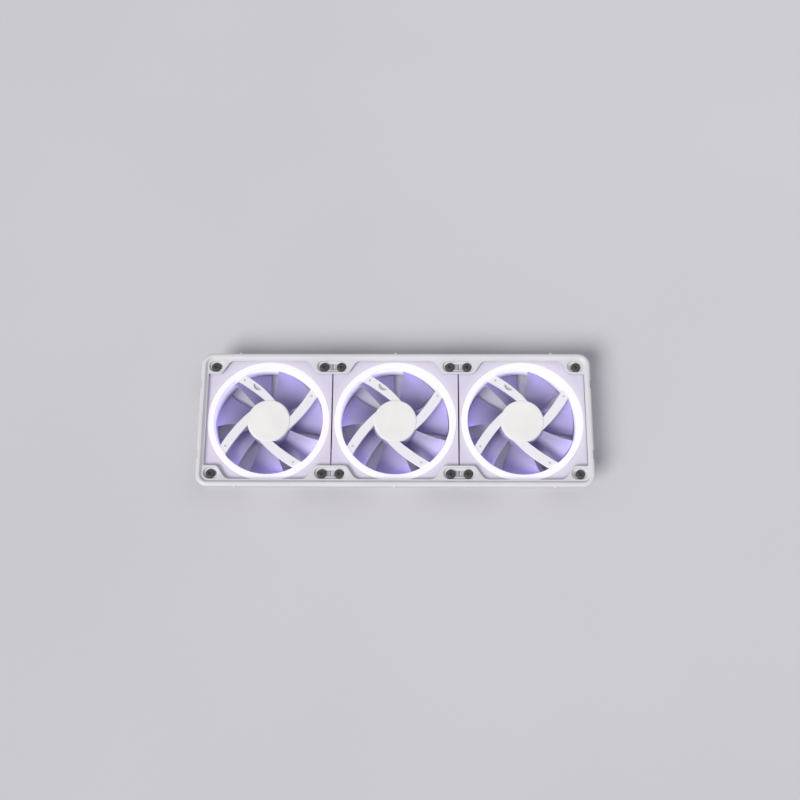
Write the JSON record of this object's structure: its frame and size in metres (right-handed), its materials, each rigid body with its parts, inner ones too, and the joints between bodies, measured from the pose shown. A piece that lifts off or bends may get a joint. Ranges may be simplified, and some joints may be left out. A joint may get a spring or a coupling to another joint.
{
  "type": "radiator fan tray",
  "caption": "Pressed white steel tray with a row of ring-lit axial fans screwed beneath it, the fan side of a liquid cooling radiator; the rotors spin freely.",
  "frame": {"origin": "centre of the tray's outline, in the plane of the lower vibration pads that the radiator core is bolted to", "axes": "+X along the row of fans, +Y towards the back of the case, +Z in the exhaust direction, out through the tray"},
  "size_m": [0.375, 0.1324, 0.0312],
  "materials": {
    "tray_steel": "fine-textured white powder coat",
    "screw_black": "matte black oxide",
    "frame_plastic": "moulded white, fine spark-erosion texture",
    "pad_rubber": "soft light grey rubber",
    "ring_diffuser": "milky light diffuser, lit",
    "circuit_board": "solder-resist lacquer",
    "led": "clear lens over phosphor",
    "cap_plastic": "moulded white, fine texture",
    "bearing_bronze": "oil-soaked sintered bronze",
    "core_steel": "stacked laminations",
    "copper_wire": "enamelled copper winding",
    "blade_plastic": "semi-matte white, slightly translucent",
    "yoke_steel": "zinc-plated deep-drawn steel",
    "ferrite": "bonded ferrite, sintered grey-black",
    "shaft_steel": "ground",
    "clip_plastic": "moulded black retaining ring"
  },
  "bodies": {
    "tray_and_frames": {"tray": "tray_steel", "screws_1": "screw_black", "screws_2": "screw_black", "screws_3": "screw_black", "frame_1": "frame_plastic", "frame_2": "frame_plastic", "frame_3": "frame_plastic", "corner_pads_1": "pad_rubber", "corner_pads_2": "pad_rubber", "corner_pads_3": "pad_rubber", "light_ring_1": "ring_diffuser", "light_ring_2": "ring_diffuser", "light_ring_3": "ring_diffuser", "led_board_1": "circuit_board", "led_board_2": "circuit_board", "led_board_3": "circuit_board", "leds_1": "led", "leds_2": "led", "leds_3": "led", "hub_cap_1": "cap_plastic", "hub_cap_2": "cap_plastic", "hub_cap_3": "cap_plastic", "bearing_1": "bearing_bronze", "bearing_2": "bearing_bronze", "bearing_3": "bearing_bronze", "stator_core_1": "core_steel", "stator_core_2": "core_steel", "stator_core_3": "core_steel", "coils_1": "copper_wire", "coils_2": "copper_wire", "coils_3": "copper_wire", "motor_board_1": "circuit_board", "motor_board_2": "circuit_board", "motor_board_3": "circuit_board"},
    "rotor_1": {"impeller_1": "blade_plastic", "rotor_yoke_1": "yoke_steel", "magnet_1": "ferrite", "shaft_1": "shaft_steel", "shaft_clip_1": "clip_plastic"},
    "rotor_2": {"impeller_2": "blade_plastic", "rotor_yoke_2": "yoke_steel", "magnet_2": "ferrite", "shaft_2": "shaft_steel", "shaft_clip_2": "clip_plastic"},
    "rotor_3": {"impeller_3": "blade_plastic", "rotor_yoke_3": "yoke_steel", "magnet_3": "ferrite", "shaft_3": "shaft_steel", "shaft_clip_3": "clip_plastic"}
  },
  "joints": [
    {"name": "fan_1_spin", "type": "hinge", "parent": "tray_and_frames", "child": "rotor_1", "pos_m": [-0.12135, -0.0006, 0.012], "axis": [0, 0, 1], "continuous": true},
    {"name": "fan_2_spin", "type": "hinge", "parent": "tray_and_frames", "child": "rotor_2", "pos_m": [0, -0.0006, 0.012], "axis": [0, 0, 1], "continuous": true},
    {"name": "fan_3_spin", "type": "hinge", "parent": "tray_and_frames", "child": "rotor_3", "pos_m": [0.12135, -0.0006, 0.012], "axis": [0, 0, 1], "continuous": true}
  ]
}
